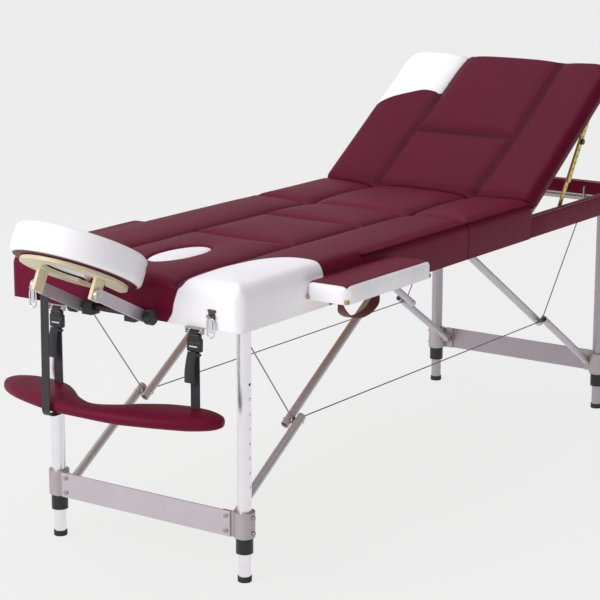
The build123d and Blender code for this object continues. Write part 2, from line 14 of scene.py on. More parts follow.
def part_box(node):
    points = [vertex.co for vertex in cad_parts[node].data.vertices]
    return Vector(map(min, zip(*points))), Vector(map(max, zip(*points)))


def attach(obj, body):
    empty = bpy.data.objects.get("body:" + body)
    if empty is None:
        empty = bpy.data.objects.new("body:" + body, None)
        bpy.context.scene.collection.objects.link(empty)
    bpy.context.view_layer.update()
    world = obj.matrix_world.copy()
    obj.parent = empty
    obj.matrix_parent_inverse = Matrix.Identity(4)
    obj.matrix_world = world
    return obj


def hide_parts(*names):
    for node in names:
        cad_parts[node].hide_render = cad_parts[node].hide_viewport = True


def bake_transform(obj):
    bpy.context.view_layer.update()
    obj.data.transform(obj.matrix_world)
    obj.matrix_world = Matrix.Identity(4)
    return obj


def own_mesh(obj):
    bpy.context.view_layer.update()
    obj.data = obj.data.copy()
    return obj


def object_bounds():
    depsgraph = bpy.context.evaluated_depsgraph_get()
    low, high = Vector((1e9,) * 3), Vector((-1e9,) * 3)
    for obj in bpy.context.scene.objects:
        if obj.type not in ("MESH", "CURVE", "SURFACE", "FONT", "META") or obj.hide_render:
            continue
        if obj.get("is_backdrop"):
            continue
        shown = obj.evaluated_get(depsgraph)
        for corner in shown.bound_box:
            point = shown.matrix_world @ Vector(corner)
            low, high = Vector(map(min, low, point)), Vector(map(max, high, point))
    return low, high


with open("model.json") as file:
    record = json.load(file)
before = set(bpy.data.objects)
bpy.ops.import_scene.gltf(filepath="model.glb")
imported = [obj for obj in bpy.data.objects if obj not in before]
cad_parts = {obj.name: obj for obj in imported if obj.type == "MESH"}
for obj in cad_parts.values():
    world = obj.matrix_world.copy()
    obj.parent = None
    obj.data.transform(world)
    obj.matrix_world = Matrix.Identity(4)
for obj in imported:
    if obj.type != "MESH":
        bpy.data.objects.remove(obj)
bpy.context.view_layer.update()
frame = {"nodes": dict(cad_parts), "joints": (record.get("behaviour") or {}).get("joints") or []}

FOLD_Y = (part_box("head_pad")[1].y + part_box("seat_pad")[0].y) / 2


# ------------------------------------------------------------------ places and small helpers
def place(x, v, z):
    """A point of the row frame from its x, its distance v from the fold and its height."""
    return Vector((x, FOLD_Y + v, z))


def srgb(red, green, blue):
    """Linear colour of an sRGB colour given from 0 to 255."""
    parts = [c / 255 for c in (red, green, blue)]
    line = [p / 12.92 if p <= 0.04045 else ((p + 0.055) / 1.055) ** 2.4 for p in parts]
    return (*line, 1)


def smooth_step(t):
    t = np.clip(t, 0, 1)
    return t * t * (3 - 2 * t)


def mesh_piece(name, points, faces, material, body, smooth=True):
    """A mesh object that rides on a CAD body."""
    mesh = bpy.data.meshes.new(name)
    mesh.from_pydata([tuple(p) for p in points], [], faces)
    mesh.validate()
    for polygon in mesh.polygons:
        polygon.use_smooth = smooth
    mesh.materials.append(material)
    piece = bpy.data.objects.new(name, mesh)
    bpy.context.scene.collection.objects.link(piece)
    if body:
        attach(piece, body)
    return piece


class Builder:
    """Collects points and faces of one piece made of several simple solids."""

    def __init__(self):
        self.points, self.faces = [], []

    def add(self, points, faces):
        first = len(self.points)
        self.points += [Vector(p) for p in points]
        self.faces += [tuple(first + i for i in face) for face in faces]

    def rings(self, rings, closed=False):
        """Join rings of equal length; open ends are capped."""
        size = len(rings[0])
        points = [p for ring in rings for p in ring]
        faces = []
        count = len(rings)
        for a in range(count if closed else count - 1):
            b = (a + 1) % count
            for i in range(size):
                j = (i + 1) % size
                faces.append((a * size + i, a * size + j, b * size + j, b * size + i))
        if not closed:
            faces.append(tuple(reversed(range(size))))
            faces.append(tuple((count - 1) * size + i for i in range(size)))
        self.add(points, faces)

    def turned(self, start, end, profile, sides=24):
        """A turned solid: profile holds (share of the way, radius) pairs."""
        axis = (end - start)
        side = axis.orthogonal().normalized()
        up = axis.normalized().cross(side)
        rings = []
        for share, radius in profile:
            centre = start + axis * share
            turn = [2 * math.pi * i / sides for i in range(sides)]
            rings.append([centre + (side * math.cos(a) + up * math.sin(a)) * radius for a in turn])
        self.rings(rings)

    def rod(self, start, end, radius, sides=16, bevel=0.0006):
        """A round rod with small bevelled edges."""
        length = (end - start).length
        b = min(bevel / length, 0.4)
        shape = [(0, radius - bevel), (b, radius), (1 - b, radius), (1, radius - bevel)]
        self.turned(start, end, shape, sides)

    def head(self, centre, direction, radius, height, sides=20):
        """A domed rivet or bolt head standing on a surface."""
        tip = centre + direction.normalized() * height
        shape = [(0, radius), (0.35, radius), (0.75, radius * 0.8), (1, radius * 0.35)]
        self.turned(centre, tip, shape, sides)

    def tube(self, path, radius, sides=12, closed=False):
        """A round tube along a path of points, with flat capped ends."""
        count = len(path)
        rings, normal = [], None
        for i, p in enumerate(path):
            before = path[i - 1] if (i or closed) else path[0]
            after = path[(i + 1) % count] if (i < count - 1 or closed) else path[-1]
            tangent = (after - before).normalized()
            if normal is None:
                normal = tangent.orthogonal().normalized()
            normal = (normal - tangent * normal.dot(tangent)).normalized()
            side = tangent.cross(normal)
            r = radius(i / (count - 1)) if callable(radius) else radius
            turn = [2 * math.pi * k / sides for k in range(sides)]
            rings.append([p + (normal * math.cos(a) + side * math.sin(a)) * r for a in turn])
        self.rings(rings, closed)

    def ribbon(self, path, across, width, thick):
        """A flat strap along a path; across is its width direction."""
        rings = []
        count = len(path)
        across = across.normalized()
        for i, p in enumerate(path):
            tangent = (path[min(i + 1, count - 1)] - path[max(i - 1, 0)]).normalized()
            out = tangent.cross(across).normalized()
            w = width(i / (count - 1)) if callable(width) else width
            rim = ((-1, -0.55), (-0.96, -1), (0.96, -1), (1, -0.55),
                   (1, 0.55), (0.96, 1), (-0.96, 1), (-1, 0.55))
            rings.append([p + across * (a * w / 2) + out * (b * thick / 2) for a, b in rim])
        self.rings(rings)

    def slab(self, low, high, radius, steps=4, matrix=None):
        """A box with every edge rounded, from its low corner to its high corner."""
        points, faces = round_box(low, high, radius, (high - low).length / 6, steps)
        if matrix is not None:
            points = [matrix @ Vector(p) for p in points]
        self.add(points, faces)

    def finish(self, name, material, body, slot=None, smooth=True):
        piece = mesh_piece(name, self.points, self.faces, material, body, smooth)
        if smooth:
            sharpen(piece)
        return piece


def sharpen(piece, degrees=38):
    """Shade smooth except at real edges."""
    piece.data.shade_smooth()
    piece.data.set_sharp_from_angle(angle=math.radians(degrees))


def graded(low, high, step, marks=(), fine=()):
    """Grid coordinates from low to high that pass through each mark, closer beside them."""
    values = list(np.linspace(low, high, max(2, int(round((high - low) / step)) + 1)))
    special = [m + s * d for m in marks for s in (-1, 1) for d in (0, *fine)]
    special = [s for s in special if low < s < high]
    kept = [v for v in values if all(abs(v - s) > step * 0.3 for s in special) or v in (low, high)]
    merged = sorted(set(round(v, 6) for v in kept + special))
    return np.array(merged)


def round_box(low, high, radius, step, steps=4, marks_x=(), marks_s=(), fine=(), open_bottom=False,
              corners=None):
    """Points and quads of a box with rounded edges; an open bottom leaves its floor out.

    corners holds the plan radius of the upright corners at the low and at the high s end.
    """
    corners = corners or (radius, radius)
    edge = [radius * (1 - math.cos(math.pi / 2 * i / steps)) for i in range(1, steps + 1)]

    def axis(lo, hi, marks):
        lead = [lo + e for e in edge if lo + e < (lo + hi) / 2]
        tail = [hi - e for e in edge if hi - e > (lo + hi) / 2]
        inside = graded(lo + radius, hi - radius, step, marks, fine) if hi - lo > 2 * radius else []
        return sorted(set(round(v, 6) for v in [lo, hi, *lead, *tail, *inside]))

    xs, ss = axis(low[0], high[0], marks_x), axis(low[1], high[1], marks_s)
    ns = axis(low[2], high[2], ())
    index, points, faces = {}, [], []
    floor = -1e9 if open_bottom else low[2] + radius

    def at(x, s, n):
        key = (round(x, 6), round(s, 6), round(n, 6))
        if key not in index:
            index[key] = len(points)
            turn = corners[0] if s < (low[1] + high[1]) / 2 else corners[1]
            inner = np.array([np.clip(x, low[0] + turn, high[0] - turn),
                              np.clip(s, low[1] + turn, high[1] - turn)])
            d = np.array([x, s]) - inner
            out = np.abs(d).max()
            gaps = (min(x - low[0], high[0] - x), min(s - low[1], high[1] - s))
            inset = min(gaps)
            q = np.array([max(inset, radius), np.clip(n, floor, high[2] - radius)])
            e = np.array([inset, n]) - q
            away = np.linalg.norm(e)
            move = 0.0
            if away > 1e-9:
                rounded, n = q + e * (radius / away)
                move = inset - rounded
            plan = np.array([x, s])
            if out > 1e-9:
                plan = inner + d / np.linalg.norm(d) * (out + move)
            elif move:
                axis = gaps.index(inset)
                middle = (low[axis] + high[axis]) / 2
                plan[axis] += math.copysign(move, plan[axis] - middle)
            points.append((*plan, n))
        return index[key]

    def face(a, b, c, d, flip):
        quad = (a, b, c, d)
        faces.append(quad[::-1] if flip else quad)

    for i in range(len(xs) - 1):
        for j in range(len(ss) - 1):
            for n, flip in ((high[2], False), (low[2], True)):
                if open_bottom and flip:
                    continue
                quad = [at(xs[i], ss[j], n), at(xs[i + 1], ss[j], n),
                        at(xs[i + 1], ss[j + 1], n), at(xs[i], ss[j + 1], n)]
                face(*quad, flip)
    for k in range(len(ns) - 1):
        for i in range(len(xs) - 1):
            for s, flip in ((low[1], False), (high[1], True)):
                face(at(xs[i], s, ns[k]), at(xs[i + 1], s, ns[k]),
                     at(xs[i + 1], s, ns[k + 1]), at(xs[i], s, ns[k + 1]), flip)
        for j in range(len(ss) - 1):
            for x, flip in ((high[0], False), (low[0], True)):
                face(at(x, ss[j], ns[k]), at(x, ss[j + 1], ns[k]),
                     at(x, ss[j + 1], ns[k + 1]), at(x, ss[j], ns[k + 1]), flip)
    return points, faces


def curve_through(points, per_span=10, closed=False):
    """Points of a smooth Catmull-Rom curve through the given ones."""
    p = [np.array(q, float) for q in points]
    count = len(p)
    out = []
    for i in range(count if closed else count - 1):
        if closed:
            a, b, c, d = (p[(i + k) % count] for k in (-1, 0, 1, 2))
        else:
            a, b, c, d = p[max(i - 1, 0)], p[i], p[i + 1], p[min(i + 2, count - 1)]
        for k in range(per_span):
            t = k / per_span
            out.append(0.5 * (2 * b + (c - a) * t + (2 * a - 5 * b + 4 * c - d) * t * t
                              + (3 * b - a - 3 * c + d) * t ** 3))
    if not closed:
        out.append(p[-1])
    return np.array(out)


def distance_to(path, x, y, closed=False):
    """Distance from each (x, y) to a polyline."""
    best = np.full(len(x), 1e9)
    last = len(path) if closed else len(path) - 1
    for i in range(last):
        a, b = path[i], path[(i + 1) % len(path)]
        d = b - a
        t = np.clip(((x - a[0]) * d[0] + (y - a[1]) * d[1]) / max(d @ d, 1e-12), 0, 1)
        best = np.minimum(best, np.hypot(x - a[0] - t * d[0], y - a[1] - t * d[1]))
    return best


def inside_of(path, x, y):
    """True where (x, y) lies inside a closed polyline."""
    inside = np.zeros(len(x), bool)
    for i in range(len(path)):
        (ax, ay), (bx, by) = path[i], path[(i + 1) % len(path)]
        crosses = (ay > y) != (by > y)
        at = ax + (y - ay) * (bx - ax) / (by - ay if by != ay else 1e-12)
        inside ^= crosses & (x < at)
    return inside


def signed_field(path, x, y):
    """Signed distance to a closed outline, positive inside."""
    d = distance_to(path, x, y, closed=True)
    return np.where(inside_of(path, x, y), d, -d)


def lumps(points, scale, seed):
    """Smooth noise at each point, about -1 to 1."""
    offset = Vector((seed, seed * 2.3, seed * 0.7))
    return np.array([noise.noise(Vector(p) * scale + offset) for p in points])


# ------------------------------------------------------------------ materials
LEATHER_SPECULAR = 0.12
SEAM_SHADE = 0.72  # brightness of the line where two colours of leather meet
PAINTED_FOLD_SHADE = 0.42  # painted shade: brightness of the base colour at the bottom of a fold


def new_material(name):
    material = bpy.data.materials.new(name)
    material.use_nodes = True
    shader = material.node_tree.nodes["Principled BSDF"]
    return material, material.node_tree, shader


def add_node(tree, kind, **inputs):
    node = tree.nodes.new(kind)
    for key, value in inputs.items():
        node.inputs[key.replace("_", " ")].default_value = value
    return node


def mix_colour(tree, factor, first, second):
    """A colour mix; first and second are colours or sockets."""
    mix = tree.nodes.new("ShaderNodeMix")
    mix.data_type = "RGBA"
    tree.links.new(factor, mix.inputs["Factor"])
    for socket, value in ((mix.inputs[6], first), (mix.inputs[7], second)):
        if isinstance(value, tuple):
            socket.default_value = value
        else:
            tree.links.new(value, socket)
    return mix.outputs[2]


def span(tree, value, low, high, to_low, to_high):
    node = tree.nodes.new("ShaderNodeMapRange")
    tree.links.new(value, node.inputs["Value"])
    for key, number in (("From Min", low), ("From Max", high), ("To Min", to_low), ("To Max", to_high)):
        node.inputs[key].default_value = number
    return node.outputs["Result"]


def place_nodes(tree, stretch=(1, 1, 1)):
    """Object coordinates, stretched."""
    coords = tree.nodes.new("ShaderNodeTexCoord")
    mapping = tree.nodes.new("ShaderNodeMapping")
    mapping.inputs["Scale"].default_value = stretch
    tree.links.new(coords.outputs["Object"], mapping.inputs["Vector"])
    return mapping.outputs["Vector"]


def noise_value(tree, vector, scale, detail=3.0, rough=0.55):
    node = add_node(tree, "ShaderNodeTexNoise", Scale=scale, Detail=detail, Roughness=rough)
    tree.links.new(vector, node.inputs["Vector"])
    return node.outputs["Fac"]


def add_bump(tree, shader, height, strength, distance, after=None):
    bump = add_node(tree, "ShaderNodeBump", Strength=strength, Distance=distance)
    tree.links.new(height, bump.inputs["Height"])
    if after is not None:
        tree.links.new(after, bump.inputs["Normal"])
    tree.links.new(bump.outputs["Normal"], shader.inputs["Normal"])
    return bump.outputs["Normal"]


def shaded(tree, colour, shade):
    """The colour multiplied by a grey value."""
    darker = tree.nodes.new("ShaderNodeMix")
    darker.data_type = "RGBA"
    darker.blend_type = "MULTIPLY"
    darker.inputs["Factor"].default_value = 1
    tree.links.new(colour, darker.inputs[6])
    combine = tree.nodes.new("ShaderNodeCombineColor")
    for key in ("Red", "Green", "Blue"):
        tree.links.new(shade, combine.inputs[key])
    tree.links.new(combine.outputs["Color"], darker.inputs[7])
    return darker.outputs[2]


def leather(name, base, second=None, roughness=0.46, attribute=None):
    """Grained PU leather, in two colours where an attribute marks the second one, with painted shade in
    the folds that the crease attribute marks.
    """
    material, tree, shader = new_material(name)
    vector = place_nodes(tree)
    cloud = noise_value(tree, vector, 9.0, 2.0)
    fine = noise_value(tree, vector, 260.0, 4.0)
    dark = tuple(c * 0.90 for c in base[:3]) + (1,)
    colour = mix_colour(tree, span(tree, cloud, 0.3, 0.7, 0, 1), base, dark)
    if attribute:
        field = tree.nodes.new("ShaderNodeAttribute")
        field.attribute_name = attribute
        second_dark = tuple(c * 0.965 for c in second[:3]) + (1,)
        other = mix_colour(tree, span(tree, cloud, 0.3, 0.7, 0, 1), second, second_dark)
        inside = span(tree, field.outputs["Fac"], -0.0004, 0.0004, 0, 1)
        colour = mix_colour(tree, inside, colour, other)
        line = tree.nodes.new("ShaderNodeMath")
        line.operation = "ABSOLUTE"
        tree.links.new(field.outputs["Fac"], line.inputs[0])
        shade = span(tree, line.outputs[0], 0.0004, 0.0022, SEAM_SHADE, 1.0)
        colour = shaded(tree, colour, shade)
    # Painted shade: the crease attribute darkens the base colour in the folds beside the seams.
    crease = tree.nodes.new("ShaderNodeAttribute")
    crease.attribute_name = "crease"
    colour = shaded(tree, colour, span(tree, crease.outputs["Fac"], 0, 1, 1.0, PAINTED_FOLD_SHADE))
    tree.links.new(colour, shader.inputs["Base Color"])
    rough = span(tree, fine, 0.3, 0.7, roughness - 0.05, roughness + 0.07)
    tree.links.new(rough, shader.inputs["Roughness"])
    shader.inputs["Specular IOR Level"].default_value = LEATHER_SPECULAR
    cells = add_node(tree, "ShaderNodeTexVoronoi", Scale=620.0)
    cells.feature = "SMOOTH_F1"
    tree.links.new(vector, cells.inputs["Vector"])
    first = add_bump(tree, shader, cells.outputs["Distance"], 0.22, 0.0006)
    add_bump(tree, shader, noise_value(tree, vector, 55.0, 3.0), 0.10, 0.002, first)
    return material


def metal(name, colour, roughness=0.3, stretch=(1, 1, 1), streak=0.10, metallic=1.0):
    """Drawn or plated metal with streaks along the stretched axis."""
    material, tree, shader = new_material(name)
    vector = place_nodes(tree, stretch)
    streaks = noise_value(tree, vector, 420.0, 4.0)
    blotch = noise_value(tree, place_nodes(tree), 22.0, 3.0)
    shader.inputs["Metallic"].default_value = metallic
    dark = tuple(c * 0.95 for c in colour[:3]) + (1,)
    tone = mix_colour(tree, span(tree, blotch, 0.35, 0.7, 0, 1), colour, dark)
    tree.links.new(tone, shader.inputs["Base Color"])
    rough = span(tree, streaks, 0.25, 0.75, roughness - streak / 2, roughness + streak)
    tree.links.new(rough, shader.inputs["Roughness"])
    add_bump(tree, shader, streaks, 0.06, 0.0004)
    return material


def plastic(name, colour, roughness=0.42, grain=900.0, strength=0.10):
    """Moulded plastic or rubber with a fine spark-eroded texture."""
    material, tree, shader = new_material(name)
    vector = place_nodes(tree)
    fine = noise_value(tree, vector, grain, 2.0)
    cloud = noise_value(tree, vector, 18.0, 2.0)
    light = tuple(min(1, c * 1.12 + 0.002) for c in colour[:3]) + (1,)
    tone = mix_colour(tree, span(tree, cloud, 0.3, 0.7, 0, 1), colour, light)
    tree.links.new(tone, shader.inputs["Base Color"])
    rough = span(tree, fine, 0.3, 0.7, roughness - 0.05, roughness + 0.08)
    tree.links.new(rough, shader.inputs["Roughness"])
    add_bump(tree, shader, fine, strength, 0.0004)
    return material


def webbing(name, colour, turn=(1, 1, 1)):
    """Woven strap: fine ribs across and along, with a soft sheen."""
    material, tree, shader = new_material(name)
    vector = place_nodes(tree, turn)
    waves = []
    for direction, ribs in (("Z", 330.0), ("X", 210.0)):
        wave = add_node(tree, "ShaderNodeTexWave", Scale=ribs, Distortion=0.4)
        wave.bands_direction = direction
        tree.links.new(vector, wave.inputs["Vector"])
        waves.append(wave.outputs["Fac"])
    both = tree.nodes.new("ShaderNodeMath")
    both.operation = "MULTIPLY"
    for i, wave in enumerate(waves):
        tree.links.new(wave, both.inputs[i])
    light = tuple(min(1, c * 1.9 + 0.004) for c in colour[:3]) + (1,)
    tree.links.new(mix_colour(tree, both.outputs[0], colour, light), shader.inputs["Base Color"])
    shader.inputs["Roughness"].default_value = 0.8
    shader.inputs["Sheen Weight"].default_value = 0.25
    add_bump(tree, shader, both.outputs[0], 0.5, 0.0008)
    return material


def timber(name, colour, dark, stretch=(1, 0.06, 1)):
    """Plain timber or plywood with its grain along Y."""
    material, tree, shader = new_material(name)
    vector = place_nodes(tree, stretch)
    grain = noise_value(tree, vector, 120.0, 6.0, 0.65)
    broad = noise_value(tree, vector, 24.0, 3.0)
    tone = mix_colour(tree, span(tree, broad, 0.3, 0.7, 0, 1), colour, dark)
    streaked = mix_colour(tree, span(tree, grain, 0.5, 0.75, 0, 0.7), tone, dark)
    tree.links.new(streaked, shader.inputs["Base Color"])
    tree.links.new(span(tree, grain, 0.3, 0.7, 0.5, 0.72), shader.inputs["Roughness"])
    add_bump(tree, shader, grain, 0.2, 0.0006)
    return material


MAROON = srgb(103, 6, 44)
# Painted shade: the backrest uses a darker copy of the same maroon leather to stand for the shade on the
# reclined backrest.
MAROON_BACK_PAINTED_SHADE = srgb(91, 4, 38)
WHITE = srgb(248, 246, 250)
pu_two = leather("pu_maroon_and_white", MAROON, WHITE, attribute="patch")
pu_back_painted_shade = leather("pu_backrest_painted_shade", MAROON_BACK_PAINTED_SHADE, WHITE, attribute="patch")
pu_maroon = leather("pu_maroon", MAROON)
pu_white = leather("pu_white", WHITE, roughness=0.42)
pu_cradle = leather("pu_white_over_maroon", MAROON, WHITE, attribute="patch", roughness=0.42)
aluminium_z = metal("aluminium_tube_upright", srgb(243, 241, 245), 0.30, (1, 1, 0.02), 0.05)
aluminium_y = metal("aluminium_tube_sloping", srgb(196, 190, 196), 0.38, (1, 0.04, 0.04), 0.05, 0.55)
# Painted shade: the foot end's tubes and cross bar are darker copies of the same aluminium, standing for
# the shade they sit in.
aluminium_far_painted_shade = metal("aluminium_tube_foot_end_painted_shade", srgb(176, 168, 175), 0.36, (1, 1, 0.02), 0.05, 0.7)
cross_far_painted_shade = metal("aluminium_cross_bar_foot_end_painted_shade", srgb(168, 160, 167), 0.40, (0.02, 1, 1), 0.05, 0.7)
aluminium_x = metal("aluminium_cross_bar", srgb(206, 198, 204), 0.36, (0.02, 1, 1), 0.05)
cast_metal = metal("clamp_casting", srgb(184, 176, 176), 0.46, streak=0.16, metallic=0.75)
steel = metal("plain_steel", srgb(170, 166, 164), 0.32)
chrome = metal("bright_chrome", srgb(225, 225, 228), 0.12, streak=0.05)
gun_metal = metal("dark_steel", srgb(96, 88, 88), 0.35)
zinc_gold = metal("yellow_zinc", srgb(206, 192, 118), 0.30)
cable_steel = metal("wire_rope", srgb(150, 142, 150), 0.40, streak=0.2)
black = plastic("black_plastic", srgb(20, 19, 22), 0.36)
rubber = plastic("black_rubber", srgb(26, 25, 28), 0.62, 500.0, 0.2)
cream = plastic("cream_plastic", srgb(214, 204, 172), 0.40)
black_web = webbing("black_webbing", srgb(22, 20, 24))
maroon_web = webbing("maroon_webbing", srgb(88, 30, 46))
pine = timber("pine_frame", srgb(206, 172, 138), srgb(170, 128, 92))
plywood = timber("plywood_deck", srgb(196, 164, 128), srgb(160, 122, 86), (1, 0.1, 1))


def dress(material, *nodes):
    for name in nodes:
        mesh = frame["nodes"][name].data
        if not mesh.materials:
            mesh.materials.append(material)
        for i in range(len(mesh.materials)):
            mesh.materials[i] = material


for half in ("head", "foot"):
    dress(pine, f"{half}_frame_rails")
    upright, cross = (aluminium_z, aluminium_x) if half == "head" else (aluminium_far_painted_shade, cross_far_painted_shade)
    dress(upright, f"{half}_outer_leg_tubes")
    dress(aluminium_y, f"{half}_lower_braces", f"{half}_upper_braces")
    dress(cross, f"{half}_crossbar")
    dress(cast_metal, f"{half}_leg_clamps")
    dress(steel, f"{half}_leg_pins", f"{half}_brackets", f"{half}_fold_plates")
    dress(black, f"{half}_leg_collars")
    for side_name in ("far", "near"):
        dress(upright, f"{half}_{side_name}_inner_tube")
        dress(rubber, f"{half}_{side_name}_foot_cap")
        dress(chrome, f"{half}_{side_name}_height_button")
dress(plywood, "head_deck", "seat_deck", "backrest_board")
dress(steel, "backrest_brackets", "backrest_hinge_plates")
dress(zinc_gold, "stay_lower_bars", "stay_upper_bars")
dress(black, "stay_knobs", "cradle_knobs", "cradle_posts")
dress(aluminium_y, "cradle_arms")
dress(cream, "cradle_plate")

# ------------------------------------------------------------------ padded covers of the top
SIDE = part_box("head_pad")[1].x
HEAD_END = FOLD_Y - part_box("head_pad")[0].y
SEAT_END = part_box("seat_pad")[1].y - FOLD_Y
PAD_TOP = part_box("seat_pad")[1].z
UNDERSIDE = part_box("head_frame_rails")[0].z
RAIL_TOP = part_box("head_frame_rails")[1].z
SKIN = 0.0016
SEAM_X = 0.149
GRID = 0.0075
FINE = (0.002, 0.005)
# Widths of the painted shade in and beside the folds at the seams.
FOLD_WIDTH, SLOPE_WIDTH = 0.0045, 0.022
COVER_THICKNESS = 0.0012


def seam_depth(x, s, lines, depth, width):
    """How far a padded surface is pulled down beside its seams."""
    total = np.zeros(len(x))
    for line in lines:
        d = distance_to(np.array(line, float), x, s)
        steep, wide = np.exp(-d / (0.4 * width)), np.exp(-d / (1.5 * width))
        total = np.maximum(total, depth * (0.4 * steep + 0.6 * wide))
    return total


def painted_fold_shade(x, s, lines):
    """Painted shade for the folds beside the seams: how much the colour is darkened there, from 0 to 1.
    """
    total = np.zeros(len(x))
    for line in lines:
        d = distance_to(np.array(line, float), x, s)
        fold, slope = np.exp(-(d / FOLD_WIDTH) ** 2), np.exp(-d / SLOPE_WIDTH)
        total = np.maximum(total, 0.75 * fold + 0.25 * slope)
    return total


def puckers(x, s, lines, height):
    """Small gathers that run away from each seam."""
    total = np.zeros(len(x))
    for k, line in enumerate(lines):
        a, b = np.array(line[0], float), np.array(line[-1], float)
        along = ((x - a[0]) * (b - a)[0] + (s - a[1]) * (b - a)[1]) / np.linalg.norm(b - a)
        d = distance_to(np.array(line, float), x, s)
        ripple = np.sin(along * 2 * math.pi / 0.021 + 2.2 * np.sin(along * 37 + k * 1.7))
        total += height * ripple * np.exp(-((d - 0.006) / 0.011) ** 2)
    return total


def padded_cover(name, low, high, radius, lines, crown, depth, width, matrix, body, node,
                 material, patch=None, seed=1.0, under=0.014, corners=None, sink=None, lift=None):
    """A stuffed cover over a board: rounded sides, sewn channels and a turned-under hem.

    The box from low to high is in the cover's own (x, s, n) axes, and matrix places it.
    """
    marks_x = sorted(set(p[0] for line in lines for p in line if len(set(q[0] for q in line)) == 1))
    marks_s = sorted(set(p[1] for line in lines for p in line if len(set(q[1] for q in line)) == 1))
    raw, faces = round_box(low, high, radius, GRID, 6, marks_x, marks_s, FINE, True, corners)
    p = np.array(raw)
    x, s, n = p[:, 0].copy(), p[:, 1].copy(), p[:, 2].copy()
    on_top = smooth_step((n - (high[2] - radius)) / radius)
    edge = np.minimum.reduce([x - low[0], high[0] - x, s - low[1], high[1] - s])
    swell = crown * (1 - np.exp(-np.clip(edge, 0, None) / 0.035))
    top = swell - seam_depth(x, s, lines, depth, width) + puckers(x, s, lines, 0.0007)
    top += 0.0011 * lumps(raw, 7.0, seed)
    if sink is not None:
        top -= sink(x, s)
    p[:, 2] += on_top * top
    side_out = (1 - on_top) * np.sin(np.clip((n - low[2]) / (high[2] - low[2]), 0, 1) * math.pi)
    push = 0.0022 + 0.0006 * lumps(raw, 14.0, seed + 5)
    for axis in (0, 1):
        middle = (low[axis] + high[axis]) / 2
        reach = (high[axis] - low[axis]) / 2
        rim = smooth_step((np.abs(p[:, axis] - middle) - (reach - 0.004)) / 0.004)
        p[:, axis] += np.sign(p[:, axis] - middle) * rim * side_out * push
    bottom = [i for i in range(len(raw)) if abs(n[i] - low[2]) < 1e-6]

    def lifted(q):
        """A point raised out of the legs' way in the wall at the high s end."""
        if lift and abs(q[0]) < lift[0] and q[1] > high[1] - 0.03:
            return (q[0], q[1], max(q[2], lift[1]))
        return tuple(q)

    centre = np.array([(low[0] + high[0]) / 2, (low[1] + high[1]) / 2])
    loops = hem(faces, bottom)
    points = [lifted(q) for q in p]
    ring = loops
    for inset, drop in ((0.003, -0.0012), (under, 0.0)):
        new = []
        for i in ring[: len(loops)]:
            q = np.array(points[i])
            reach = np.array([(high[0] - low[0]) / 2 - inset, (high[1] - low[1]) / 2 - inset])
            pull = np.clip(q[:2] - centre, -reach, reach)
            new.append(len(points))
            points.append(lifted((centre[0] + pull[0], centre[1] + pull[1], low[2] + drop)))
        count = len(ring)
        for a in range(count):
            b = (a + 1) % count
            faces.append((ring[b], ring[a], new[a], new[b]))
        ring = new
    field = np.full(len(points), -1.0)
    if patch is not None:
        out_x = np.where(x > 0, 1, -1) * np.clip(high[2] - n - 0.3 * radius, 0, None)
        flat_x = x + out_x * smooth_step((np.abs(x) - (high[0] - radius)) / radius)
        out_s = np.clip(high[2] - n - 0.3 * radius, 0, None)
        low_end = smooth_step(((low[1] + radius) - s) / radius)
        high_end = smooth_step((s - (high[1] - radius)) / radius)
        flat_s = s - out_s * low_end + out_s * high_end
        field[: len(raw)] = signed_field(patch, flat_x, flat_s)
        field[len(raw):] = np.resize(field[loops], len(points) - len(raw))
    world = [matrix @ Vector(q) for q in points]
    piece = mesh_piece(name, world, faces, material, body)
    attribute = piece.data.attributes.new("patch", "FLOAT", "POINT")
    attribute.data.foreach_set("value", field.astype(np.float32))
    # Painted shade: the crease attribute darkens the top's colour in the folds beside the seams.
    crease = np.zeros(len(points))
    crease[: len(raw)] = on_top * painted_fold_shade(x, s, lines)
    shade = piece.data.attributes.new("crease", "FLOAT", "POINT")
    shade.data.foreach_set("value", crease.astype(np.float32))
    thicken = piece.modifiers.new("thickness", "SOLIDIFY")
    thicken.thickness = COVER_THICKNESS
    thicken.offset = -1
    if node:
        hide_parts(node)
    return piece


def hem(faces, bottom):
    """The bottom rim's points in order round the cover."""
    rim = set(bottom)
    after = {}
    for quad in faces:
        for k in range(4):
            a, b = quad[k], quad[(k + 1) % 4]
            if a in rim and b in rim:
                after[a] = b
    start = bottom[0]
    order, current = [start], after[start]
    while current != start:
        order.append(current)
        current = after[current]
    return order


level = Matrix.Translation(Vector((0, FOLD_Y, 0)))
FOLD_GAP = 0.0012
head_lines = [
    [(-SEAM_X, -HEAD_END - 0.01), (-SEAM_X, 0.01)],
    [(SEAM_X, -HEAD_END - 0.01), (SEAM_X, 0.01)],
    [(-SEAM_X, -0.495), (SEAM_X, -0.495)],
    [(-SEAM_X, -0.210), (SEAM_X, -0.210)],
]
patch_outline = curve_through([
    (0.145, -1.075), (0.146, -1.010), (0.155, -0.975), (0.170, -0.935), (0.180, -0.875), (0.177, -0.790),
    (0.192, -0.712), (0.235, -0.660), (0.292, -0.638), (0.350, -0.640), (0.470, -0.640), (0.470, -1.075),
], 8, closed=True)
plug_low, plug_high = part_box("face_hole_plug")
PLUG_HALF = ((plug_high.x - plug_low.x) / 2, (plug_high.y - plug_low.y) / 2)
PLUG_V = (plug_low.y + plug_high.y) / 2 - FOLD_Y


def plug_sink(x, s):
    """How far the pad dips round the plug of the face hole."""
    share = np.hypot(x / PLUG_HALF[0], (s - PLUG_V) / PLUG_HALF[1])
    outside = np.clip(share - 1, 0, None) * PLUG_HALF[0]
    return 0.0065 * np.exp(-outside / 0.022) + 0.016 * smooth_step((1.0 - share) / 0.06)


